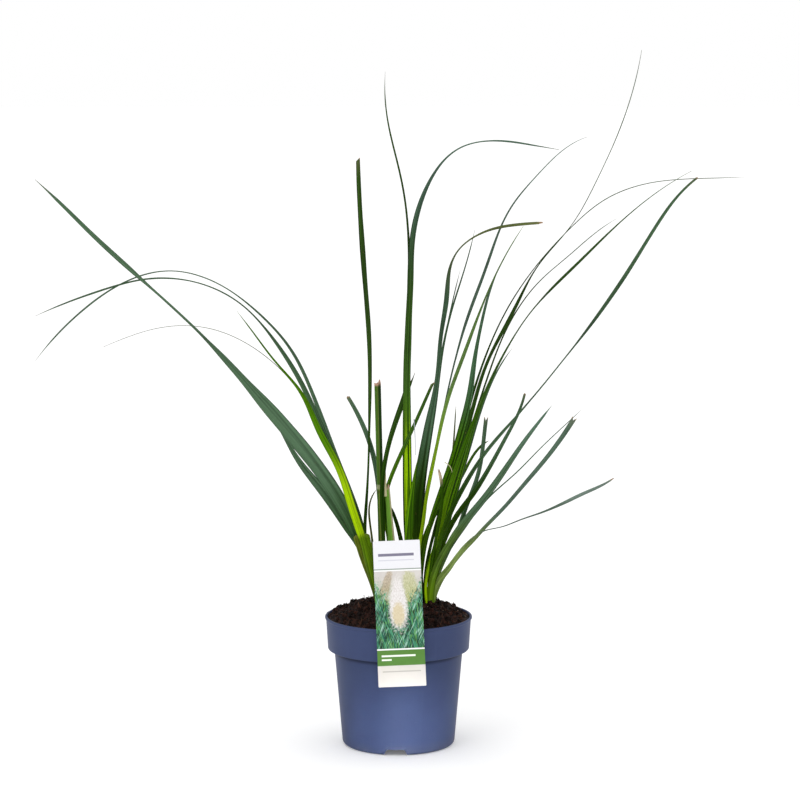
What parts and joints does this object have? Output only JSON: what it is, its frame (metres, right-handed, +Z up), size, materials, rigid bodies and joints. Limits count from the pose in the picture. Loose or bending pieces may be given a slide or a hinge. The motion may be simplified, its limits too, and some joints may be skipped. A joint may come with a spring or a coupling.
{
  "type": "potted ornamental grass clump",
  "caption": "Clump of long arching grass leaves growing from peat in a tapered round nursery pot with a wide band under its rim and a card label hooked over it.",
  "frame": {"origin": "on the ground, on the pot's axis, at the middle of the pot's centre pad", "axes": "+Z up along the pot's axis, -Y towards the side that carries the label, +X to the right of that side"},
  "size_m": [0.877, 0.541, 0.7985],
  "materials": {
    "pot_plastic": "satin",
    "peat": "matte",
    "label_card": "satin",
    "leaf_teal": "satin",
    "leaf_green": "satin",
    "leaf_lime": "satin",
    "leaf_deep": "satin",
    "leaf_olive": "satin",
    "straw": "matte"
  },
  "bodies": {
    "root": {"culm_pale": "leaf_green", "culm_tall": "leaf_deep", "label": "label_card", "leaf_culm_forked": "leaf_green", "leaf_culm_left": "leaf_teal", "leaf_culm_right": "leaf_deep", "leaf_culm_short": "leaf_deep", "leaf_culm_wisp": "leaf_olive", "leaf_left_arch_far": "leaf_deep", "leaf_left_arch_near": "leaf_deep", "leaf_left_broad": "leaf_teal", "leaf_left_lime": "leaf_lime", "leaf_left_under": "leaf_green", "leaf_left_wisp": "leaf_olive", "leaf_mid_back": "leaf_deep", "leaf_mid_crook": "leaf_lime", "leaf_mid_hook": "leaf_teal", "leaf_mid_lime": "leaf_lime", "leaf_mid_needle": "leaf_deep", "leaf_mid_short": "leaf_green", "leaf_mid_slender": "leaf_green", "leaf_mid_sliver": "leaf_deep", "leaf_right_broad": "leaf_green", "leaf_right_far": "leaf_deep", "leaf_right_grey": "leaf_olive", "leaf_right_lime": "leaf_lime", "leaf_right_long": "leaf_teal", "leaf_right_low": "leaf_olive", "leaf_right_mate": "leaf_teal", "leaf_right_notched": "leaf_teal", "leaf_right_olive": "leaf_green", "leaf_right_slim_cut": "leaf_deep", "leaf_right_teal": "leaf_teal", "leaf_right_thin": "leaf_green", "leaf_right_torn": "leaf_green", "leaf_right_upright": "leaf_teal", "leaf_right_upswept": "leaf_green", "leaf_right_wisp": "leaf_deep", "leaf_tall_cut": "leaf_deep", "peat": "peat", "pot": "pot_plastic", "sheath_left_green": "leaf_green", "sheath_left_tan": "leaf_olive", "stub_right_dry": "straw"}
  },
  "joints": []
}
